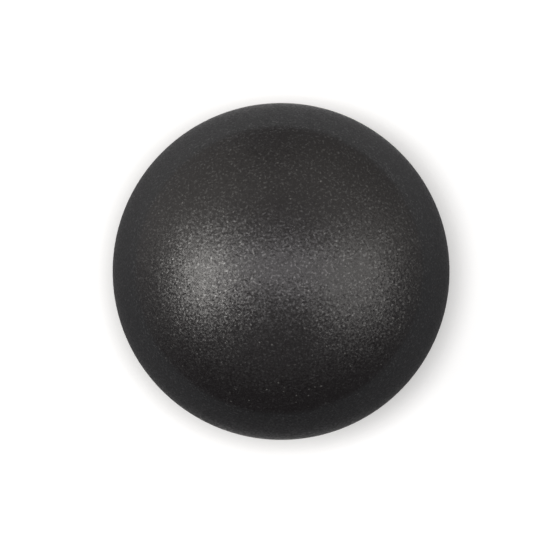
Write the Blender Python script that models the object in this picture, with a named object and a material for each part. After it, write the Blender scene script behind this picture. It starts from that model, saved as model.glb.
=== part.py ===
"""Lawn bowl: a moulded, biased bowl that lies on its bias side, with the plain cheek up.

The bowl is a solid of revolution about +Z, in metres.  The origin is the middle of the flat foot
that it lies on, on the bias cheek, so +Z points to the plain cheek.  Heights in the outlines below
are counted from the mid-plane, where the bowl is widest, and turned() lifts them onto the foot.
"""

import math

import bmesh
import bpy

# Whole bowl
RUNNING_DIAMETER = 0.1238  # across the running sole, 4 7/8 in
PLAIN_HALF_WIDTH = 0.0570  # from the mid-plane to the top of the plain cheek
BIAS_HALF_WIDTH = 0.0570  # from the mid-plane to the foot
SOLE_OVERSHOOT = 0.0041  # the sole's arc is struck from this far beyond the axis
PLAIN_SOLE_DROP = 0.0113  # radius lost from the running line to the sole's edge, plain side
BIAS_SOLE_DROP = 0.0095  # the same on the bias side, which is fuller and so heavier
BIAS_CHEEK_ARC = 0.0660  # radius of the bias cheek's section

# Core and skin
SKIN_WALL = 0.0125  # least thickness of the moulded skin, away from the disc
SEAM = 0.0003  # between the two halves of the skin
FIT = 0.0003  # between any other two pieces that seat on each other

# Disc on the bias cheek, let into the foot, and the filled grooves in it and round it
DISC_RADIUS = 0.0150
DISC_THICKNESS = 0.0025
DISC_INSET = 0.0003  # the disc's face lies this far inside the foot
DISC_RIM = 0.0017  # plain edge of the disc, outside its outer groove
RING_PITCH = 0.0046  # from the outer groove's middle to the inner groove's
CENTRE_SPOT_RADIUS = 0.0024
CHEEK_LAND = 0.0020  # plain foot between the disc's recess and the groove round it
FOOT_LAND = 0.0025  # plain foot outside that groove
GROOVE_WIDTH = 0.0022
GROOVE_DEPTH = 0.0011
INLAY_INSET = 0.0002  # an inlay's face lies this far inside the face around it

# Facets
SEGMENTS = 64
ARC_STEP = math.radians(7)
HIDDEN_ARC_STEP = math.radians(13)  # on the core and in the hollow that it fills
SHARP_EDGE = math.radians(30)
MERGE_DISTANCE = 1e-6

# Colours
RESIN = (0.022, 0.022, 0.022)
FILLER = (0.045, 0.038, 0.032)
CREAM = (0.55, 0.49, 0.37)
ENAMEL = (0.035, 0.012, 0.010)

RUNNING_RADIUS = RUNNING_DIAMETER / 2
SOLE_ARC = RUNNING_RADIUS + SOLE_OVERSHOOT
HOLLOW_RADIUS = RUNNING_RADIUS - SKIN_WALL
HOLLOW_HALF_WIDTH = min(PLAIN_HALF_WIDTH, BIAS_HALF_WIDTH) - SKIN_WALL
FOOT_FACE = -BIAS_HALF_WIDTH
DISC_FACE = FOOT_FACE + DISC_INSET
RECESS_RADIUS = DISC_RADIUS + FIT
CHEEK_RING_RADIUS = RECESS_RADIUS + CHEEK_LAND + GROOVE_WIDTH / 2
FOOT_RADIUS = CHEEK_RING_RADIUS + GROOVE_WIDTH / 2 + FOOT_LAND
OUTER_RING_RADIUS = DISC_RADIUS - DISC_RIM - GROOVE_WIDTH / 2
INNER_RING_RADIUS = OUTER_RING_RADIUS - RING_PITCH


def clear_scene():
    for obj in list(bpy.data.objects):
        bpy.data.objects.remove(obj)


def plastic(name, colour, roughness):
    material = bpy.data.materials.new(name)
    material.use_nodes = True
    shader = material.node_tree.nodes["Principled BSDF"]
    shader.inputs["Base Color"].default_value = (*colour, 1.0)
    shader.inputs["Roughness"].default_value = roughness
    shader.inputs["Metallic"].default_value = 0.0
    material.diffuse_color = (*colour, 1.0)
    return material


def arc(centre, radius, start, end, step=ARC_STEP):
    """Points (r, z) on an arc from one angle to another, both counted from the mid-plane."""
    steps = max(2, math.ceil(abs(end - start) / step))
    angles = [start + (end - start) * i / steps for i in range(steps + 1)]
    return [(centre[0] + radius * math.cos(a), centre[1] + radius * math.sin(a)) for a in angles]


def sole(start, end):
    """The running sole's section between two angles round the point that it is struck from."""
    return arc((-SOLE_OVERSHOOT, 0), SOLE_ARC, start, end)


def sole_edge_angle(drop):
    """The angle at which the sole has lost this much of the running radius."""
    return math.acos(1 - drop / SOLE_ARC)


def plain_cheek(edge):
    """The crown: one arc, level where it crosses the axis, down to the sole's edge."""
    rise = PLAIN_HALF_WIDTH - edge[1]
    radius = (edge[0] ** 2 + rise ** 2) / (2 * rise)
    centre = (0, PLAIN_HALF_WIDTH - radius)
    return arc(centre, radius, math.pi / 2, math.atan2(edge[1] - centre[1], edge[0]))


def bias_cheek(edge):
    """One arc of radius BIAS_CHEEK_ARC from the sole's edge to the rim of the foot."""
    across, down = FOOT_RADIUS - edge[0], FOOT_FACE - edge[1]
    chord = math.hypot(across, down)
    back = math.sqrt(BIAS_CHEEK_ARC ** 2 - (chord / 2) ** 2)
    centre = (
        (edge[0] + FOOT_RADIUS) / 2 + back * down / chord,
        (edge[1] + FOOT_FACE) / 2 - back * across / chord,
    )
    start = math.atan2(edge[1] - centre[1], edge[0] - centre[0])
    end = math.atan2(FOOT_FACE - centre[1], FOOT_RADIUS - centre[0])
    return arc(centre, BIAS_CHEEK_ARC, start, end)


def ellipse(radius, half_width, start, end):
    """Points on the section of the core, or of the hollow that it fills."""
    return [(radius * r, half_width * z) for r, z in arc((0, 0), 1, start, end, HIDDEN_ARC_STEP)]


def groove(radius, face):
    """A ring groove's four corners, from its outer edge to its inner one."""
    outer, inner = radius + GROOVE_WIDTH / 2, radius - GROOVE_WIDTH / 2
    floor = face + GROOVE_DEPTH
    return [(outer, face), (outer, floor), (inner, floor), (inner, face)]


def on_axis(point):
    """The same height, exactly on the axis."""
    return (0.0, point[1])


def turned(name, outline, material):
    """Spin an outline of (r, z) points about +Z.  It is a ring, or starts and ends on the axis."""
    mesh = bpy.data.meshes.new(name)
    bm = bmesh.new()
    points = [bm.verts.new((r, 0, z + BIAS_HALF_WIDTH)) for r, z in outline]
    pairs = list(zip(points, points[1:]))
    if outline[0][0] > 0:
        pairs.append((points[-1], points[0]))
    edges = [bm.edges.new(pair) for pair in pairs]
    bmesh.ops.spin(
        bm,
        geom=points + edges,
        axis=(0, 0, 1),
        cent=(0, 0, 0),
        angle=math.tau,
        steps=SEGMENTS,
        use_merge=True,
    )
    bmesh.ops.remove_doubles(bm, verts=bm.verts, dist=MERGE_DISTANCE)
    bmesh.ops.recalc_face_normals(bm, faces=bm.faces)
    bm.to_mesh(mesh)
    bm.free()
    mesh.materials.append(material)
    mesh.shade_smooth()
    mesh.set_sharp_from_angle(angle=SHARP_EDGE)
    obj = bpy.data.objects.new(name, mesh)
    bpy.context.collection.objects.link(obj)


def make_core():
    outline = ellipse(HOLLOW_RADIUS - FIT, HOLLOW_HALF_WIDTH - FIT, math.pi / 2, -math.pi / 2)
    outline[0], outline[-1] = on_axis(outline[0]), on_axis(outline[-1])
    turned("core", outline, plastic("core resin", FILLER, 0.8))


def make_plain_side_skin():
    """From the top of the crown down to the seam, in along it, and back up inside."""
    band = sole(sole_edge_angle(PLAIN_SOLE_DROP), math.asin(SEAM / 2 / SOLE_ARC))
    crown = plain_cheek(band[0])
    inside = ellipse(
        HOLLOW_RADIUS, HOLLOW_HALF_WIDTH, math.asin(SEAM / 2 / HOLLOW_HALF_WIDTH), math.pi / 2
    )
    outline = crown + band[1:] + inside
    outline[0], outline[-1] = on_axis(outline[0]), on_axis(outline[-1])
    turned("plain_side_skin", outline, plastic("plain side resin", RESIN, 0.55))


def make_bias_side_skin():
    """From the bottom of the hollow up to the seam, out along it, and down to the disc's recess."""
    inside = ellipse(
        HOLLOW_RADIUS, HOLLOW_HALF_WIDTH, -math.pi / 2, -math.asin(SEAM / 2 / HOLLOW_HALF_WIDTH)
    )
    inside[0] = on_axis(inside[0])
    band = sole(-math.asin(SEAM / 2 / SOLE_ARC), -sole_edge_angle(BIAS_SOLE_DROP))
    cheek = bias_cheek(band[-1])
    recess_floor = DISC_FACE + DISC_THICKNESS + FIT
    recess = [(RECESS_RADIUS, FOOT_FACE), (RECESS_RADIUS, recess_floor), (0.0, recess_floor)]
    outline = inside + band + cheek[1:] + groove(CHEEK_RING_RADIUS, FOOT_FACE) + recess
    turned("bias_side_skin", outline, plastic("bias side resin", RESIN, 0.55))


def make_bias_disc():
    back = DISC_FACE + DISC_THICKNESS
    spot_floor = DISC_FACE + GROOVE_DEPTH
    outline = [(0.0, back), (DISC_RADIUS, back), (DISC_RADIUS, DISC_FACE)]
    outline += groove(OUTER_RING_RADIUS, DISC_FACE) + groove(INNER_RING_RADIUS, DISC_FACE)
    outline += [(CENTRE_SPOT_RADIUS, DISC_FACE), (CENTRE_SPOT_RADIUS, spot_floor), (0.0, spot_floor)]
    turned("bias_disc", outline, plastic("disc plastic", CREAM, 0.35))


def inlay_heights(face):
    """The bottom and top of an inlay that fills a groove in this face and seats on its floor."""
    return face + INLAY_INSET, face + GROOVE_DEPTH - FIT


def make_ring_inlay(name, radius, face, colour):
    bottom, top = inlay_heights(face)
    outer, inner = radius + GROOVE_WIDTH / 2 - FIT, radius - GROOVE_WIDTH / 2 + FIT
    outline = [(inner, top), (outer, top), (outer, bottom), (inner, bottom)]
    turned(name, outline, plastic(name + " enamel", colour, 0.3))


def make_centre_inlay():
    bottom, top = inlay_heights(DISC_FACE)
    radius = CENTRE_SPOT_RADIUS - FIT
    outline = [(0.0, top), (radius, top), (radius, bottom), (0.0, bottom)]
    turned("disc_centre_inlay", outline, plastic("centre enamel", ENAMEL, 0.3))


def main():
    clear_scene()
    make_core()
    make_plain_side_skin()
    make_bias_side_skin()
    make_bias_disc()
    make_ring_inlay("disc_outer_ring_inlay", OUTER_RING_RADIUS, DISC_FACE, ENAMEL)
    make_ring_inlay("disc_inner_ring_inlay", INNER_RING_RADIUS, DISC_FACE, ENAMEL)
    make_centre_inlay()
    make_ring_inlay("cheek_ring_inlay", CHEEK_RING_RADIUS, FOOT_FACE, CREAM)


main()
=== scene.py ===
import math

import bmesh
import bpy
from bpy.props import FloatProperty, FloatVectorProperty, IntProperty, PointerProperty
from mathutils import Matrix, Vector


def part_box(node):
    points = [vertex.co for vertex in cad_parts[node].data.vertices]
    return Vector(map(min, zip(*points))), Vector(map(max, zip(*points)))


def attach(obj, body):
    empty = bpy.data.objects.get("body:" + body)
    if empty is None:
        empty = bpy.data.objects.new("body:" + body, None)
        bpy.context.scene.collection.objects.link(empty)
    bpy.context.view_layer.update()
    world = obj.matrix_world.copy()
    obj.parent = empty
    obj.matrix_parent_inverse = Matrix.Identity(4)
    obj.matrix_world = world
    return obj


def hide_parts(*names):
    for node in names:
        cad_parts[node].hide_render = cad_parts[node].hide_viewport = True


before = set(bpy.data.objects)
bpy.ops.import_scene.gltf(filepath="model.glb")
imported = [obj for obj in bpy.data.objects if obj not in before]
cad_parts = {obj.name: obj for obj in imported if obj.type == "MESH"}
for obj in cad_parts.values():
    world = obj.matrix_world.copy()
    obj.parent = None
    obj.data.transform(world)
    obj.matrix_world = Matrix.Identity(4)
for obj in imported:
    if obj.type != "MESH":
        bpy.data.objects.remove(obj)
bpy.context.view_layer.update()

bl_info = {
    "name": "Lawn Bowl",
    "version": (1, 0, 0),
    "blender": (4, 5, 0),
    "location": "3D View > Sidebar > Lawn Bowl",
    "description": "Turns the visible pieces of a biased lawn bowl around its packed frame",
    "category": "Object",
}

# The bowl is turned about +Z.  What the frame knows is read from it; the rest repeats part.py.
PLAIN_LOW, PLAIN_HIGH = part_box("plain_side_skin")
BIAS_LOW, BIAS_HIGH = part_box("bias_side_skin")
DISC_LOW, DISC_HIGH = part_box("bias_disc")
MID_PLANE = (PLAIN_LOW.z + BIAS_HIGH.z) / 2
FOOT_FACE = BIAS_LOW.z - MID_PLANE
DISC_FACE = DISC_LOW.z - MID_PLANE
CAD_FIT = 0.0003  # the CAD's gap round the disc, outside which the groove in the cheek is placed
AXIS = 0.0
QUARTER = math.pi / 2
MERGE_DISTANCE = 1e-7
SHARP_ANGLE = math.radians(32)
HIDDEN_STEPS = 6  # an arc inside the skin has steps this many times as long as one outside

# Resin: the sizes of its textures, and its gloss as an IOR and a specular level
EDGE_BLEND = 0.0009  # half the width over which the moulded cheek becomes the turned sole
FLECK_SPACING = 0.0021
PATCH_SIZE = 0.0022
SMEAR_SIZE = 0.006
CLOUD_SIZE = 0.018
LATHE_PITCH = 0.0045  # between the lathe's lines, in radians along the sole's arc
CHEEK_SKIN, CHEEK_GRAINS = (1.6, 0.445), (2.0, 0.52)
SOLE_SKIN_IOR, SOLE_GRAINS_IOR = 1.6, 2.2
SOLE_GLOSS_STEP = 0.06  # the sole's skin is this far below its specular level, its grains above it
GLINT_RANGE = (0.51, 0.80)  # the sparkle noise where grains start to glint, and glint most
BLOOM_ROUGHNESS = 0.2

# Stage.  A lamp has a name, the name of its power, a share of it, the name of its colour, its lean
# and bearing in degrees, its width and its height.
LAMPS = (
    ("left lamp", "left_power", 1.0, "warm_lamp", 42.0, 184.0, 0.50, 0.32),
    ("right lamp", "right_power", 1.0, "warm_lamp", 43.5, -8.5, 0.64, 0.60),
    ("top lamp", "top_power", 1.0, "top_lamp", 1.5, 87.0, 0.90, 0.26),
    ("back right lamp", "back_power", 0.95, "back_lamp", 60.0, 45.0, 1.50, 0.84),
    ("back left lamp", "back_power", 1.05, "back_lamp", 61.5, 139.0, 1.21, 1.03),
)
AIM_LEFT, AIM_UP = 0.00407, 0.00053  # from the bowl's middle to where the camera looks
SENSOR_WIDTH = 36.0  # mm
FLOOR_RADIUS = 1.6
FLOOR_FADE = (0.5, 1.4)  # radii between which the paper fades away
WHITE = (1.0, 1.0, 1.0)
# Painted shadow: the paper that the bowl mirrors is darkened towards this close to the bowl
PAINTED_SHADOW_BLACK = (0.0, 0.0, 0.0)


# ---------------------------------------------------------------- properties


def length(name, description, default):
    return FloatProperty(
        name=name, description=description, default=default, min=0.0, precision=5, unit="LENGTH"
    )


def colour(name, description, default):
    return FloatVectorProperty(
        name=name, description=description, default=default, size=3, min=0.0, max=1.0,
        subtype="COLOR",
    )


def share(name, description, default):
    return FloatProperty(name=name, description=description, default=default, min=0.0, max=1.0)


def power(name, default):
    return FloatProperty(name=name, description="Power in watts", default=default, min=0.0)


class BowlShape(bpy.types.PropertyGroup):
    """Sizes of the turned skin."""

    running_radius: length("Running radius", "From the axis to the running line", PLAIN_HIGH.x)
    plain_half_width: length(
        "Plain half width", "From the mid-plane to the top of the plain cheek",
        PLAIN_HIGH.z - MID_PLANE,
    )
    sole_overshoot: length(
        "Sole overshoot", "The sole's arc is struck from this far beyond the axis", 0.0041
    )
    plain_sole_drop: length(
        "Plain sole drop", "Radius lost from the running line to the plain side's edge", 0.0113
    )
    bias_sole_drop: length(
        "Bias sole drop", "Radius lost from the running line to the bias side's edge", 0.0095
    )
    bias_cheek_arc: length("Bias cheek arc", "Radius of the bias cheek's section", 0.0660)
    skin_wall: length("Skin wall", "Thickness of the skin round the core", 0.0125)
    sole_edge_round: length("Sole edge round", "Radius that eases the edge of the sole", 0.0110)
    foot_edge_round: length("Foot edge round", "Radius that eases the rim of the foot", 0.0060)
    arc_step: FloatProperty(
        name="Arc step", description="Angle between the points of an arc",
        default=math.radians(0.75), subtype="ANGLE",
    )
    turns: IntProperty(name="Segments", description="Segments round the axis", default=256, min=16)


class DiscShape(bpy.types.PropertyGroup):
    """Sizes of the disc on the bias cheek and of the filled grooves in it and round it."""

    disc_radius: length("Disc radius", "Radius of the disc", DISC_HIGH.x)
    disc_thickness: length("Disc thickness", "Thickness of the disc", DISC_HIGH.z - DISC_LOW.z)
    fit: length("Fit", "Gap round the disc in its recess", 0.0001)
    disc_rim: length("Disc rim", "Plain edge of the disc outside its outer groove", 0.0017)
    ring_pitch: length("Ring pitch", "From the outer groove to the inner one", 0.0046)
    spot_radius: length("Spot radius", "Radius of the filled spot in the middle", 0.0024)
    cheek_land: length("Cheek land", "Plain foot between the disc and the groove round it", 0.0020)
    foot_land: length("Foot land", "Plain foot outside that groove", 0.0025)
    groove_width: length("Groove width", "Width of every groove", 0.0022)
    groove_depth: length("Groove depth", "Depth of every groove", 0.0011)
    enamel_sag: length("Enamel sag", "How far the enamel dips between a groove's edges", 0.00018)
    edge_round: length("Edge round", "Radius that eases a cut edge", 0.00015)


class Finish(bpy.types.PropertyGroup):
    """Colours and textures."""

    cheek_colour: colour("Cheek", "Moulded black resin of the cheeks", (0.0034, 0.0021, 0.0026))
    sole_colour: colour("Sole", "The same resin, turned and polished", (0.0030, 0.0031, 0.0034))
    fleck_colour: colour("Fleck", "Pale grains in the resin", (0.120, 0.118, 0.112))
    cheek_roughness: share("Cheek roughness", "Roughness of the moulded cheeks", 0.385)
    sole_roughness: share("Sole roughness", "Roughness of the turned sole", 0.42)
    sole_gloss: share("Sole gloss", "Specular level of the sole", 0.50)
    sole_bloom: share("Sole bloom", "Pale haze of dust on the sole, seen edge on", 0.14)
    grain_size: length("Grain size", "Distance between the grains of the moulded cheek", 0.00080)
    grain_depth: length("Grain depth", "Height of the grain", 0.00005)
    glitter_size: length("Glitter size", "Distance between the grains that tip it", 0.00080)
    glitter_tilt: FloatProperty(
        name="Glitter tilt", description="How far grains tip the surface", default=0.60, min=0.0
    )
    sparkle_size: length("Sparkle size", "Distance between the grains that glint", 0.00085)
    filler_colour: colour("Filler", "Pressed filler of the core", (0.045, 0.038, 0.032))
    cream_colour: colour("Cream", "Disc and the enamel round it", (0.55, 0.49, 0.37))
    enamel_colour: colour("Enamel", "Dark filling of the disc's grooves", (0.035, 0.012, 0.010))


class Stage(bpy.types.PropertyGroup):
    """Camera, lights and floor."""

    camera_distance: length("Camera distance", "From the camera to the middle of the bowl", 0.84)
    focal_length: FloatProperty(
        name="Focal length", description="On a sensor 36 mm wide", default=152.0, min=10.0
    )
    lean_right: FloatProperty(
        name="Lean right", description="How far the camera stands over to +X",
        default=math.radians(1.25), subtype="ANGLE",
    )
    lean_down: FloatProperty(
        name="Lean down", description="How far the camera stands over to -Y",
        default=math.radians(0.85), subtype="ANGLE",
    )
    lamp_distance: length("Lamp distance", "From every lamp to the middle of the bowl", 0.90)
    left_power: power("Left lamp", 4.25)
    right_power: power("Right lamp", 2.55)
    top_power: power("Top lamp", 2.7)
    back_power: power("Back lamps", 1.85)
    floor_colour: colour("Floor", "Pale paper", (0.50, 0.50, 0.50))
    # Painted shade: greyer copies of the paper that only the bowl's reflections see, darker in
    # front
    painted_shade_behind: colour(
        "Mirrored back", "The paper behind, as the bowl mirrors it", (0.465, 0.470, 0.490)
    )
    painted_shade_front: colour(
        "Mirrored front", "The paper in front, as the bowl mirrors it", (0.150, 0.150, 0.160)
    )
    painted_shade_aside: colour(
        "Mirrored aside", "The same paper farther aside", (0.220, 0.223, 0.240)
    )
    warm_lamp: colour("Side lamp colour", "Light of the side lamps", (1.0, 0.98, 0.945))
    back_lamp: colour("Back lamp colour", "Light of the back lamps", (1.0, 0.955, 0.88))
    top_lamp: colour("Top lamp colour", "Light of the top lamp", (1.0, 0.965, 0.985))


# ---------------------------------------------------------------- node trees


class Socket:
    """A node's output.  Python's operators on it add Math nodes and give a Socket again."""

    def __init__(self, nodes, socket):
        self.nodes, self.socket = nodes, socket

    def math(self, operation, *others):
        return self.nodes.math(operation, self, *others)

    def __add__(self, other):
        return self.math("ADD", other)

    def __sub__(self, other):
        return self.math("SUBTRACT", other)

    def __rsub__(self, other):
        return self.nodes.math("SUBTRACT", other, self)

    def __mul__(self, other):
        return self.math("MULTIPLY", other)

    def __truediv__(self, other):
        return self.math("DIVIDE", other)

    __radd__, __rmul__ = __add__, __mul__


class Nodes:
    """Adds nodes to one shader or geometry tree."""

    def __init__(self, tree):
        self.tree = tree

    def node(self, kind, settings=None, sockets=None):
        """A node with its settings made first, then each socket given a value or a link."""
        node = self.tree.nodes.new(kind)
        for name, value in (settings or {}).items():
            setattr(node, name, value)
        for key, value in (sockets or {}).items():
            socket = self.find(node.inputs, key)
            if isinstance(value, Socket):
                self.tree.links.new(value.socket, socket)
            else:
                socket.default_value = value
        return node

    def add(self, kind, settings=None, sockets=None, output=0):
        """The same, for one of the node's outputs."""
        return Socket(self, self.find(self.node(kind, settings, sockets).outputs, output))

    def math(self, operation, *values):
        return self.add("ShaderNodeMath", {"operation": operation}, dict(enumerate(values)))

    def vector(self, operation, *values, **named):
        sockets = {**dict(enumerate(values)), **named}
        return self.add("ShaderNodeVectorMath", {"operation": operation}, sockets)

    def split(self, vector):
        """A vector's three numbers."""
        node = self.node("ShaderNodeSeparateXYZ", sockets={0: vector})
        return (Socket(self, socket) for socket in node.outputs)

    def find(self, sockets, key):
        """A socket by number, by identifier or by name."""
        if isinstance(key, int):
            return sockets[key]
        return next((s for s in sockets if s.identifier == key), None) or sockets[key]

    def mix(self, factor, first, second):
        """One colour where the factor is 0 and another where it is 1."""
        sockets = {"Factor_Float": factor, "A_Color": opaque(first), "B_Color": opaque(second)}
        return self.add("ShaderNodeMix", {"data_type": "RGBA"}, sockets, "Result_Color")

    def ramp(self, value, start, end, low=0.0, high=1.0):
        """Goes smoothly from low to high while the value goes from start to end."""
        limits = {"From Min": start, "From Max": end, "To Min": low, "To Max": high}
        sockets = {"Value": value, **limits}
        return self.add("ShaderNodeMapRange", {"interpolation_type": "SMOOTHSTEP"}, sockets)

    def noise(self, place, size, detail=0.0, roughness=0.5, dimensions="3D"):
        """Soft noise round 0.5, whose lumps are this far apart in the units of the place."""
        where = "W" if dimensions == "1D" else "Vector"
        values = {where: place, "Scale": 1 / size, "Detail": detail, "Roughness": roughness}
        return self.add("ShaderNodeTexNoise", {"noise_dimensions": dimensions}, values)


def opaque(value):
    return value if isinstance(value, Socket) else (*value, 1.0)


# ---------------------------------------------------------------- materials


def new_material(name):
    """A material with an empty tree, the Nodes to fill it and its object coordinates."""
    material = bpy.data.materials.new(name)
    material.use_nodes = True
    material.node_tree.nodes.clear()
    nodes = Nodes(material.node_tree)
    return material, nodes, nodes.add("ShaderNodeTexCoord", output="Object")


def principled(nodes, look, height, constants, normal=None):
    """A Principled shader.  The height is in metres and becomes a bump on this normal."""
    bump = {"Distance": 1.0, "Height": height}
    if normal is not None:
        bump["Normal"] = normal
    look = {**look, "Normal": nodes.add("ShaderNodeBump", sockets=bump)}
    return nodes.add("ShaderNodeBsdfPrincipled", sockets={**look, **constants})


def glitter(nodes, place, size, tilt):
    """The surface's normal, tipped a little each way from grain to grain."""
    values = {"Vector": place, "Scale": 1 / size, "Detail": 1.0, "Roughness": 0.6}
    grains = nodes.add("ShaderNodeTexNoise", sockets=values, output="Color")
    tip = nodes.vector("SCALE", nodes.vector("SUBTRACT", grains, (0.5, 0.5, 0.5)), Scale=tilt)
    normal = nodes.add("ShaderNodeNewGeometry", output="Normal")
    return nodes.vector("NORMALIZE", nodes.vector("ADD", normal, tip))


def speckled(nodes, look, height, normal, glint, skin, grains, bloom=0.0):
    """A dull skin with grains that glint more than it does; each is an IOR and a specular level.

    The bloom is the pale haze that dust gives the skin where it is seen edge on.
    """
    shaders = []
    for ior, level in (skin, grains):
        constants = {
            "IOR": ior, "Specular IOR Level": level,
            "Sheen Weight": bloom, "Sheen Roughness": BLOOM_ROUGHNESS,
        }
        shaders.append(principled(nodes, look, height, constants, normal))
    return nodes.add("ShaderNodeMixShader", sockets={0: glint, 1: shaders[0], 2: shaders[1]})


def output(nodes, shader):
    nodes.node("ShaderNodeOutputMaterial", sockets={"Surface": shader})


def axis_distance(x, y):
    return (x * x + y * y).math("SQRT")


def scaled(base, factor):
    return tuple(c * factor for c in base)


def resin(name, shape, finish, sole_edge):
    """Black resin: moulded and matt inside the sole's edge, turned and satin outside it."""
    material, nodes, place = new_material(name)
    x, y, height = nodes.split(place)
    radius = axis_distance(x, y)
    cheek = nodes.ramp(radius, sole_edge + EDGE_BLEND, sole_edge - EDGE_BLEND)

    grain = nodes.noise(place, finish.grain_size, detail=2.0, roughness=0.6)
    sparkle = nodes.noise(place, finish.sparkle_size, detail=1.0, roughness=0.7)
    pits = nodes.noise(place, finish.grain_size * 1.2, detail=1.0, roughness=0.6)
    patches = nodes.noise(place, PATCH_SIZE, detail=1.0)
    clouds = nodes.noise(place, CLOUD_SIZE, detail=2.0)
    smears = nodes.noise(place, SMEAR_SIZE, detail=3.0)
    glint = nodes.ramp(sparkle, *GLINT_RANGE)

    # Pale grains: small round spots, some brighter than others
    cells = {"Vector": place, "Scale": 1 / FLECK_SPACING, "Randomness": 1.0}
    spots = nodes.node("ShaderNodeTexVoronoi", sockets=cells)
    luck = nodes.add("ShaderNodeSeparateColor", sockets={0: Socket(nodes, spots.outputs["Color"])})
    near = nodes.ramp(Socket(nodes, spots.outputs["Distance"]), 0.18, 0.07)
    fleck = near * nodes.ramp(luck, 0.4, 1.1)

    # Fine lines left by the lathe, which run round the sole
    along = (height - MID_PLANE).math("ARCTAN2", radius + shape.sole_overshoot)
    lines = nodes.noise(along, LATHE_PITCH, detail=2.0, roughness=0.7, dimensions="1D")

    # The moulded cheek
    paler = scaled(finish.cheek_colour, 1.8)
    tone = nodes.mix((clouds - 0.35) * 0.25, finish.cheek_colour, paler)
    tone = nodes.mix(fleck * 0.8, tone, finish.fleck_colour)
    roughness = finish.cheek_roughness + (smears - 0.5) * 0.06
    roughness += (pits - 0.5) * 0.12 + (patches - 0.5) * 0.12
    relief = (grain - 0.5) * finish.grain_depth
    tipped = glitter(nodes, place, finish.glitter_size, finish.glitter_tilt)
    look = {"Base Color": tone, "Roughness": roughness}
    moulded = speckled(nodes, look, relief, tipped, glint, CHEEK_SKIN, CHEEK_GRAINS)

    # The turned sole: smoother, with fainter flecks and the lathe's lines
    tone = nodes.mix(fleck * 0.35, finish.sole_colour, finish.fleck_colour)
    roughness = finish.sole_roughness + (smears - 0.5) * 0.10
    relief = (lines - 0.5) * 0.0000018 + (smears - 0.5) * 0.000010
    tipped = glitter(nodes, place, finish.glitter_size, finish.glitter_tilt * 0.9)
    look = {"Base Color": tone, "Roughness": roughness}
    skin = (SOLE_SKIN_IOR, finish.sole_gloss - SOLE_GLOSS_STEP)
    grains = (SOLE_GRAINS_IOR, finish.sole_gloss + SOLE_GLOSS_STEP)
    polished = speckled(nodes, look, relief, tipped, glint, skin, grains, finish.sole_bloom)
    output(nodes, nodes.add("ShaderNodeMixShader", sockets={0: cheek, 1: polished, 2: moulded}))
    return material


def filler(name, finish):
    """The core: coarse pressed powder with darker and paler grains."""
    material, nodes, place = new_material(name)
    grain = nodes.noise(place, 0.0011, detail=2.0, roughness=0.65)
    patches = nodes.noise(place, 0.009, detail=2.0)
    dark = scaled(finish.filler_colour, 0.45)
    pale = nodes.ramp(grain * 0.7 + patches * 0.3, 0.35, 0.65)
    tone = nodes.mix(pale, dark, finish.filler_colour)
    look = {"Base Color": tone, "Roughness": 0.72 + grain * 0.2}
    output(nodes, principled(nodes, look, grain * 0.00016, {}))
    return material


def disc_plastic(name, finish):
    """Cream plastic with faint clouds in it and a polish that has dulled."""
    material, nodes, place = new_material(name)
    clouds = nodes.noise(place, 0.006, detail=3.0)
    scuffs = nodes.noise(place, 0.0009, detail=2.0, roughness=0.7)
    brown = tuple(c * k for c, k in zip(finish.cream_colour, (0.72, 0.62, 0.48)))
    tone = nodes.mix(nodes.ramp(clouds, 0.5, 0.9), finish.cream_colour, brown)
    look = {"Base Color": tone, "Roughness": 0.28 + scuffs * 0.22}
    constants = {"Coat Weight": 0.2, "Coat Roughness": 0.2}
    output(nodes, principled(nodes, look, scuffs * 0.000012, constants))
    return material


def enamel(name, base):
    """Enamel poured into a groove: glossy, a little lumpy, with dust pressed into it."""
    material, nodes, place = new_material(name)
    lumps = nodes.noise(place, 0.0024, detail=1.0)
    dust = nodes.noise(place, 0.0005, detail=2.0, roughness=0.7)
    worn = tuple(0.6 * c + 0.05 for c in base)
    tone = nodes.mix(nodes.ramp(dust, 0.5, 0.8) * 0.5, base, worn)
    look = {"Base Color": tone, "Roughness": 0.22 + dust * 0.25}
    height = lumps * 0.00009 + dust * 0.000012
    output(nodes, principled(nodes, look, height, {"Coat Weight": 0.3}))
    return material


# ---------------------------------------------------------------- outlines


def arc(centre, radius, start, end, step):
    """Points (r, z) on an arc from one angle to another."""
    count = max(2, math.ceil(abs(end - start) / step))
    angles = [start + (end - start) * i / count for i in range(count + 1)]
    return [(centre[0] + radius * math.cos(a), centre[1] + radius * math.sin(a)) for a in angles]


def angle_of(point, centre):
    return math.atan2(point[1] - centre[1], point[0] - centre[0])


def eased(first, second, radius):
    """The centre of an arc of this radius that touches the insides of two crossing circles.

    A circle is (centre, radius).  Of the two places where it could lie, this is the outer one.
    """
    (x1, y1), reach1 = first[0], first[1] - radius
    (x2, y2), reach2 = second[0], second[1] - radius
    apart = math.hypot(x2 - x1, y2 - y1)
    along = (reach1 ** 2 - reach2 ** 2 + apart ** 2) / (2 * apart)
    across = math.sqrt(reach1 ** 2 - along ** 2)
    ux, uy = (x2 - x1) / apart, (y2 - y1) / apart
    places = [
        (x1 + along * ux + side * across * uy, y1 + along * uy - side * across * ux)
        for side in (1, -1)
    ]
    return max(places, key=lambda p: p[0])


def round_corners(points, radius, steps=3, spare=2.2):
    """Eases all corners but the two ends.  None takes more than 1/spare of a side."""
    eased_points = [points[0]]
    for before, corner, after in zip(points, points[1:], points[2:]):
        b, c, a = Vector(before), Vector(corner), Vector(after)
        back, on = (b - c).normalized(), (a - c).normalized()
        cut = min(radius, (b - c).length / spare, (a - c).length / spare)
        for i in range(steps + 1):
            t = i / steps
            p = c + back * cut * (1 - t) ** 2 + on * cut * t ** 2
            eased_points.append(tuple(p))
    return eased_points + [points[-1]]


def sole_circle(shape):
    return (-shape.sole_overshoot, 0.0), shape.running_radius + shape.sole_overshoot


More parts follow.
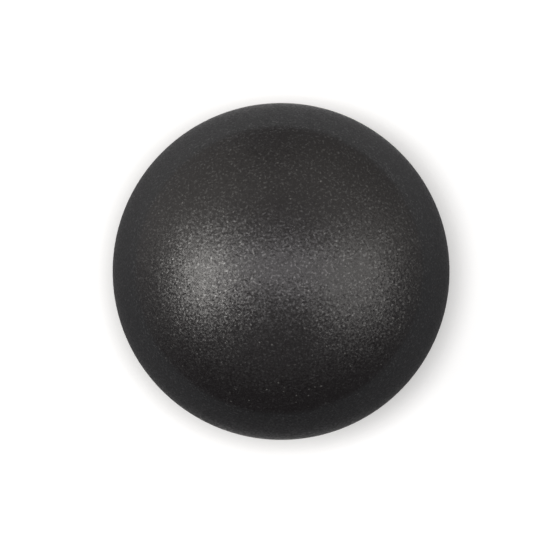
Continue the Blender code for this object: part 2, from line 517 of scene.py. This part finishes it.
def sole_edge(shape, drop, side):
    """Where the sole ends: side is 1 for the plain side and -1 for the bias side."""
    centre, radius = sole_circle(shape)
    angle = side * math.acos(1 - drop / radius)
    return (centre[0] + radius * math.cos(angle), radius * math.sin(angle))


def crown_circle(shape, edge):
    """The plain cheek is one arc, level where it crosses the axis."""
    rise = shape.plain_half_width - edge[1]
    radius = (edge[0] ** 2 + rise ** 2) / (2 * rise)
    return (AXIS, shape.plain_half_width - radius), radius


def cheek_circle(shape, edge, foot_radius):
    """The bias cheek's arc runs from the sole's edge to the rim of the foot."""
    across, down = foot_radius - edge[0], FOOT_FACE - edge[1]
    chord = math.hypot(across, down)
    back = math.sqrt(shape.bias_cheek_arc ** 2 - (chord / 2) ** 2)
    x = (edge[0] + foot_radius) / 2 + back * down / chord
    z = (edge[1] + FOOT_FACE) / 2 - back * across / chord
    return (x, z), shape.bias_cheek_arc


def hollow(shape, start, end):
    """The section of the hollow that holds the core."""
    wide = shape.running_radius - shape.skin_wall
    half = min(shape.plain_half_width, -FOOT_FACE) - shape.skin_wall
    points = arc((0, 0), 1, start, end, HIDDEN_STEPS * shape.arc_step)
    return [(wide * r, half * z) for r, z in points]


def on_axis(points):
    """The same outline with both ends exactly on the axis."""
    return [(AXIS, points[0][1])] + points[1:-1] + [(AXIS, points[-1][1])]


def groove(disc, radius, face):
    outer, inner = radius + disc.groove_width / 2, radius - disc.groove_width / 2
    floor = face + disc.groove_depth
    return [(outer, face), (outer, floor), (inner, floor), (inner, face)]


def cheek_ring_radius(disc):
    return disc.disc_radius + CAD_FIT + disc.cheek_land + disc.groove_width / 2


def foot_radius(disc):
    return cheek_ring_radius(disc) + disc.groove_width / 2 + disc.foot_land


def outer_ring_radius(disc):
    return disc.disc_radius - disc.disc_rim - disc.groove_width / 2


# ---------------------------------------------------------------- turning


def turning_tree():
    """Geometry nodes that turn an outline of (r, 0, z) points about +Z into a surface."""
    tree = bpy.data.node_groups.new("Turn Outline", "GeometryNodeTree")
    for name, kind in (
        ("Outline", "Geometry"), ("Segments", "Int"), ("Lift", "Float"),
        ("Merge Distance", "Float"), ("Sharp Angle", "Float"), ("Material", "Material"),
    ):
        tree.interface.new_socket(name, in_out="INPUT", socket_type="NodeSocket" + kind)
    tree.interface.new_socket("Surface", in_out="OUTPUT", socket_type="NodeSocketGeometry")
    nodes = Nodes(tree)
    given = nodes.node("NodeGroupInput")
    outline, segments, lift, merge, sharp, material = (Socket(nodes, s) for s in given.outputs[:6])

    count = nodes.add(
        "GeometryNodeAttributeDomainSize", {"component": "MESH"}, {0: outline}, "Point Count"
    )
    sizes = {"Vertices X": segments + 1, "Vertices Y": count}
    surface = nodes.add("GeometryNodeMeshGrid", sockets=sizes)
    index = nodes.add("GeometryNodeInputIndex")
    row = index.math("MODULO", count)
    turn = (index / count).math("FLOOR") / segments * math.tau
    profile = nodes.add(
        "GeometryNodeSampleIndex",
        {"data_type": "FLOAT_VECTOR", "domain": "POINT"},
        {"Geometry": outline, "Value": nodes.add("GeometryNodeInputPosition"), "Index": row},
    )
    radius, _, height = nodes.split(profile)
    corners = {0: radius * turn.math("COSINE"), 1: radius * turn.math("SINE"), 2: height + lift}
    place = nodes.add("ShaderNodeCombineXYZ", sockets=corners)
    bend = nodes.add("GeometryNodeInputMeshEdgeAngle", output="Unsigned Angle")
    edges = nodes.add("FunctionNodeCompare", {"operation": "GREATER_THAN"}, {0: bend, 1: sharp})
    for kind, settings, sockets in (
        ("SetPosition", {}, {"Position": place}),
        ("MergeByDistance", {}, {"Distance": merge}),
        ("SetShadeSmooth", {}, {"Shade Smooth": True}),
        ("SetShadeSmooth", {"domain": "EDGE"}, {"Selection": edges, "Shade Smooth": False}),
        ("RealizeInstances", {}, {}),
        ("SetMaterial", {}, {"Material": material}),
    ):
        surface = nodes.add("GeometryNode" + kind, settings, {"Geometry": surface, **sockets})
    nodes.node("NodeGroupOutput", sockets={0: surface})
    return tree


def turned(name, outline, material, segments):
    """A plain mesh object, turned from an outline whose heights count from the mid-plane."""
    wire = bpy.data.meshes.new(name + "_outline")
    wire.from_pydata([(r, 0, z) for r, z in outline], [], [])
    former = bpy.data.objects.new(name + "_former", wire)
    bpy.context.collection.objects.link(former)
    tree = bpy.data.node_groups.get("Turn Outline") or turning_tree()
    modifier = former.modifiers.new("Turn", "NODES")
    modifier.node_group = tree
    values = {
        "Segments": segments, "Lift": MID_PLANE, "Merge Distance": MERGE_DISTANCE,
        "Sharp Angle": SHARP_ANGLE, "Material": material,
    }
    for item in tree.interface.items_tree:
        if item.name in values:
            modifier[item.identifier] = values[item.name]
    depsgraph = bpy.context.evaluated_depsgraph_get()
    mesh = bpy.data.meshes.new_from_object(former.evaluated_get(depsgraph))
    former.modifiers.remove(modifier)
    bpy.data.objects.remove(former)
    face_outwards(mesh)
    mesh.name = name
    piece = bpy.data.objects.new(name, mesh)
    bpy.context.collection.objects.link(piece)
    return piece


def face_outwards(mesh):
    bm = bmesh.new()
    bm.from_mesh(mesh)
    bmesh.ops.recalc_face_normals(bm, faces=bm.faces)
    bm.to_mesh(mesh)
    bm.free()


def place_piece(piece, slot, *nodes):
    """Says what the piece rides on and which solids it stands for.  The slot is not used."""
    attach(piece, "root")
    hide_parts(*nodes)


# ---------------------------------------------------------------- pieces


class BOWL_OT_plain_half(bpy.types.Operator):
    """Turn the half of the skin that carries the plain cheek"""

    bl_idname = "bowl.plain_half"
    bl_label = "Plain Half"

    def execute(self, context):
        shape, finish = context.scene.bowl_shape, context.scene.bowl_finish
        edge = sole_edge(shape, shape.plain_sole_drop, 1)
        crown, band = crown_circle(shape, edge), sole_circle(shape)
        ease = eased(crown, band, shape.sole_edge_round)
        high, low = angle_of(ease, crown[0]), angle_of(ease, band[0])
        outline = arc(*crown, QUARTER, high, shape.arc_step)
        outline += arc(ease, shape.sole_edge_round, high, low, shape.arc_step)[1:]
        outline += arc(*band, low, 0.0, shape.arc_step)[1:]
        outline += hollow(shape, 0.0, QUARTER)
        material = resin("plain half resin", shape, finish, edge[0])
        piece = turned("plain_half", on_axis(outline), material, shape.turns)
        place_piece(piece, "bowl_resin", "plain_side_skin")
        return {"FINISHED"}


class BOWL_OT_bias_half(bpy.types.Operator):
    """Turn the half of the skin that carries the bias cheek, its foot and the disc's recess"""

    bl_idname = "bowl.bias_half"
    bl_label = "Bias Half"

    def execute(self, context):
        scene = context.scene
        shape, disc, finish = scene.bowl_shape, scene.bowl_disc, scene.bowl_finish
        edge = sole_edge(shape, shape.bias_sole_drop, -1)
        band, cheek = sole_circle(shape), cheek_circle(shape, edge, foot_radius(disc))
        ease = eased(band, cheek, shape.sole_edge_round)
        rim = self.rim(cheek, shape.foot_edge_round)
        high, low = angle_of(ease, band[0]), angle_of(ease, cheek[0])
        rim_angle = angle_of(rim, cheek[0])

        outline = arc(*band, 0.0, high, shape.arc_step)
        outline += arc(ease, shape.sole_edge_round, high, low, shape.arc_step)[1:]
        outline += arc(*cheek, low, rim_angle, shape.arc_step)[1:]
        outline += arc(rim, shape.foot_edge_round, rim_angle, -QUARTER, shape.arc_step)[1:]
        recess = disc.disc_radius + disc.fit
        floor = DISC_FACE + disc.disc_thickness + disc.fit
        foot = [(rim[0], FOOT_FACE)] + groove(disc, cheek_ring_radius(disc), FOOT_FACE)
        foot += [(recess, FOOT_FACE), (recess, floor), (AXIS, floor)]
        outline += round_corners(foot, disc.edge_round)[1:]
        outline = hollow(shape, -QUARTER, 0.0) + outline
        material = resin("bias half resin", shape, finish, edge[0])
        piece = turned("bias_half", on_axis(outline), material, shape.turns)
        place_piece(piece, "bowl_resin", "bias_side_skin")
        return {"FINISHED"}

    def rim(self, cheek, radius):
        """The centre of an arc that touches the inside of the cheek's circle and the foot."""
        (x, z), reach = cheek[0], cheek[1] - radius
        height = FOOT_FACE + radius
        return x + math.sqrt(reach ** 2 - (height - z) ** 2), height


class BOWL_OT_core(bpy.types.Operator):
    """Give the core its pressed filler"""

    bl_idname = "bowl.core"
    bl_label = "Core"

    def execute(self, context):
        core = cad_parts["core"]
        core.data.materials.clear()
        core.data.materials.append(filler("core filler", context.scene.bowl_finish))
        return {"FINISHED"}


class BOWL_OT_disc(bpy.types.Operator):
    """Turn the disc that marks the bias side"""

    bl_idname = "bowl.disc"
    bl_label = "Disc"

    def execute(self, context):
        disc, finish = context.scene.bowl_disc, context.scene.bowl_finish
        back, spot_floor = DISC_FACE + disc.disc_thickness, DISC_FACE + disc.groove_depth
        rim, spot = disc.disc_radius, disc.spot_radius
        outer = outer_ring_radius(disc)
        inner = outer - disc.ring_pitch
        outline = [(AXIS, back), (rim, back), (rim, DISC_FACE)]
        outline += groove(disc, outer, DISC_FACE) + groove(disc, inner, DISC_FACE)
        outline += [(spot, DISC_FACE), (spot, spot_floor), (AXIS, spot_floor)]
        outline = round_corners(outline, disc.edge_round)
        material = disc_plastic("disc plastic", finish)
        piece = turned("ringed_disc", outline, material, context.scene.bowl_shape.turns)
        place_piece(piece, "disc_plastic", "bias_disc")
        return {"FINISHED"}


class BOWL_OT_inlays(bpy.types.Operator):
    """Fill the grooves of the disc and of the cheek with enamel"""

    bl_idname = "bowl.inlays"
    bl_label = "Enamel Inlays"
    steps = 8  # across the enamel's face

    def execute(self, context):
        disc, finish = context.scene.bowl_disc, context.scene.bowl_finish
        turns = context.scene.bowl_shape.turns
        outer = outer_ring_radius(disc)
        inner = outer - disc.ring_pitch
        cheek = cheek_ring_radius(disc)
        dark, cream = finish.enamel_colour, finish.cream_colour
        for name, node, slot, base, outline in (
            ("outer_ring_enamel", "disc_outer_ring_inlay", "ring_enamel", dark,
             self.ring(disc, outer, DISC_FACE)),
            ("inner_ring_enamel", "disc_inner_ring_inlay", "ring_enamel", dark,
             self.ring(disc, inner, DISC_FACE)),
            ("cheek_ring_enamel", "cheek_ring_inlay", "cheek_enamel", cream,
             self.ring(disc, cheek, FOOT_FACE)),
            ("centre_enamel", "disc_centre_inlay", "ring_enamel", dark, self.spot(disc)),
        ):
            piece = turned(name, outline, enamel(name, base), turns)
            place_piece(piece, slot, node)
        return {"FINISHED"}

    def gap(self, disc):
        """What the enamel leaves free of a groove's sides and floor."""
        return disc.edge_round / 5

    def surface(self, disc, half, face):
        """The enamel's face across a groove: it clings to the edges and sags between them."""
        shares = [2 * i / self.steps - 1 for i in range(self.steps + 1)]
        return [(s * half, face + disc.edge_round + disc.enamel_sag * (1 - s * s)) for s in shares]

    def ring(self, disc, radius, face):
        half = disc.groove_width / 2 - self.gap(disc)
        floor = face + disc.groove_depth - self.gap(disc)
        lower = [(radius + x, z) for x, z in self.surface(disc, half, face)]
        return lower + [(radius + half, floor), (radius - half, floor), lower[0]]

    def spot(self, disc):
        half = disc.spot_radius - self.gap(disc)
        floor = DISC_FACE + disc.groove_depth - self.gap(disc)
        lower = self.surface(disc, half, DISC_FACE)[self.steps // 2:]
        return lower + [(half, floor), (AXIS, floor)]


# ---------------------------------------------------------------- stage


class BOWL_OT_stage(bpy.types.Operator):
    """Set the camera, the lamps and the pale floor"""

    bl_idname = "bowl.stage"
    bl_label = "Stage"

    def execute(self, context):
        stage = context.scene.bowl_stage
        self.middle = Vector((0.0, 0.0, MID_PLANE))
        self.camera(context, stage)
        for name, watts, part, tint, *place in LAMPS:
            self.lamp(stage, name, getattr(stage, watts) * part, getattr(stage, tint), *place)
        self.floor(stage)
        self.surroundings(context)
        context.scene.view_settings.view_transform = "Standard"
        return {"FINISHED"}

    def camera(self, context, stage):
        """Looks down the bowl's axis from a little right of it and below it."""
        back = Vector((math.sin(stage.lean_right), -math.sin(stage.lean_down), 1.0)).normalized()
        right = Vector((0.0, 1.0, 0.0)).cross(back).normalized()
        up = back.cross(right)
        aim = self.middle - right * AIM_LEFT + up * AIM_UP
        data = bpy.data.cameras.new("camera")
        data.lens, data.sensor_width = stage.focal_length, SENSOR_WIDTH
        data.clip_start, data.clip_end = 0.01, 50.0
        camera = bpy.data.objects.new("camera", data)
        camera.matrix_world = self.stood(aim + back * stage.camera_distance, right, up, back)
        context.collection.objects.link(camera)
        context.scene.camera = camera

    def stood(self, place, right, up, back):
        """The matrix of a camera or a lamp at this place, with these axes."""
        return Matrix.Translation(place) @ Matrix((right, up, back)).transposed().to_4x4()

    def lamp(self, stage, name, watts, tint, lean, bearing, width, height):
        """A soft box that faces the bowl's middle.

        It leans this many degrees from the vertical, towards a bearing counted from +X to +Y.
        """
        lean, bearing = math.radians(lean), math.radians(bearing)
        flat = math.sin(lean)
        back = Vector((flat * math.cos(bearing), flat * math.sin(bearing), math.cos(lean)))
        across = Vector((0.0, 0.0, 1.0)).cross(back).normalized()
        place = self.middle + back * stage.lamp_distance
        data = bpy.data.lights.new(name, "AREA")
        data.shape, data.size, data.size_y = "RECTANGLE", width, height
        data.energy, data.color = watts, tint
        lamp = bpy.data.objects.new(name, data)
        lamp.matrix_world = self.stood(place, across, back.cross(across), back)
        lamp.visible_camera = False
        bpy.context.collection.objects.link(lamp)

    def floor(self, stage):
        """A disc of pale paper."""
        bm = bmesh.new()
        bmesh.ops.create_circle(bm, cap_ends=True, segments=96, radius=FLOOR_RADIUS)
        mesh = bpy.data.meshes.new("floor")
        bm.to_mesh(mesh)
        bm.free()
        mesh.materials.append(self.paper(stage))
        floor = bpy.data.objects.new("floor", mesh)
        bpy.context.collection.objects.link(floor)

    def paper(self, stage):
        """White to the camera but for a painted contact shadow, painted greyer where the bowl
        mirrors it, and faded out towards the rim.
        """
        material, nodes, place = new_material("pale paper")
        x, y, _ = nodes.split(place)
        radius = axis_distance(x, y)
        seen = nodes.add("ShaderNodeLightPath", output="Is Camera Ray")

        # To the camera it glows, less so against the bowl: a painted contact shadow
        fibres = nodes.noise(place, 0.0015, detail=3.0)
        plain = nodes.mix(fibres, scaled(stage.floor_colour, 0.985), stage.floor_colour)
        glow = seen * nodes.ramp(radius, 0.061, 0.078, 0.24, 0.68)
        glow = nodes.add("ShaderNodeCombineXYZ", sockets={0: glow, 1: glow, 2: glow})

        # As the bowl mirrors it, it has painted shade: pale behind, darker in front and darkest
        # close by
        aside = nodes.ramp(x.math("ABSOLUTE"), 0.06, 0.20)
        front = nodes.mix(aside, stage.painted_shade_front, stage.painted_shade_aside)
        mirrored = nodes.mix(nodes.ramp(y, -0.05, 0.24), front, stage.painted_shade_behind)
        # Painted shadow: close to the bowl, the mirrored paper is mixed towards black
        mirrored = nodes.mix(nodes.ramp(radius, 0.08, 0.26, 0.40, 0.0), mirrored, PAINTED_SHADOW_BLACK)

        # The camera sees the plain paper, and the bowl's reflections see the painted shade
        look = {
            "Base Color": nodes.mix(seen, mirrored, plain), "Roughness": 0.95,
            "Emission Color": glow, "Emission Strength": 1.0,
        }
        sheet = nodes.add("ShaderNodeBsdfPrincipled", sockets=look)
        clear = nodes.add("ShaderNodeBsdfTransparent")
        faded = nodes.ramp(radius, *FLOOR_FADE)
        output(nodes, nodes.add("ShaderNodeMixShader", sockets={0: faded, 1: sheet, 2: clear}))
        return material

    def surroundings(self, context):
        """White to the camera.  As light: pale under the floor, dim above it, with faint walls."""
        world = bpy.data.worlds.new("surroundings")
        context.scene.world = world
        world.use_nodes = True
        world.node_tree.nodes.clear()
        nodes = Nodes(world.node_tree)
        x, y, climb = nodes.split(nodes.add("ShaderNodeTexCoord", output="Generated"))
        seen = nodes.add("ShaderNodeLightPath", output="Is Camera Ray")
        light = nodes.ramp(climb, 0.0, -0.05, 0.0, 0.35)
        light += nodes.ramp(climb, 0.2, 0.5, 0.0, 0.36) - nodes.ramp(climb, 0.5, 1.0, 0.0, 0.25)
        walls = nodes.ramp(x.math("ABSOLUTE"), 0.65, 1.0, 0.0, 0.22)
        walls += nodes.ramp(y * 0.8 - x, 0.3, 1.0, 0.0, 0.22)
        light += walls * nodes.ramp(climb.math("ABSOLUTE"), 0.28, 0.05)
        values = {"Color": opaque(WHITE), "Strength": seen + (1 - seen) * light}
        glow = nodes.add("ShaderNodeBackground", sockets=values)
        nodes.node("ShaderNodeOutputWorld", sockets={"Surface": glow})


# ---------------------------------------------------------------- add-on


STEPS = (
    BOWL_OT_stage,
    BOWL_OT_plain_half,
    BOWL_OT_bias_half,
    BOWL_OT_core,
    BOWL_OT_disc,
    BOWL_OT_inlays,
)
GROUPS = {
    "bowl_shape": BowlShape,
    "bowl_disc": DiscShape,
    "bowl_finish": Finish,
    "bowl_stage": Stage,
}


class BOWL_PT_panel(bpy.types.Panel):
    """Lists the steps in the 3D view's sidebar"""

    bl_idname = "BOWL_PT_panel"
    bl_label = "Lawn Bowl"
    bl_space_type = "VIEW_3D"
    bl_region_type = "UI"
    bl_category = "Lawn Bowl"

    def draw(self, context):
        for step in STEPS:
            self.layout.operator(step.bl_idname)


def register():
    for cls in (*GROUPS.values(), *STEPS, BOWL_PT_panel):
        bpy.utils.register_class(cls)
    for name, group in GROUPS.items():
        setattr(bpy.types.Scene, name, PointerProperty(type=group))


def unregister():
    for name in GROUPS:
        delattr(bpy.types.Scene, name)
    for cls in (BOWL_PT_panel, *reversed(STEPS), *reversed(GROUPS.values())):
        bpy.utils.unregister_class(cls)


def main():
    register()
    for step in STEPS:
        group, name = step.bl_idname.split(".")
        getattr(getattr(bpy.ops, group), name)()


if __name__ == "__main__":
    main()
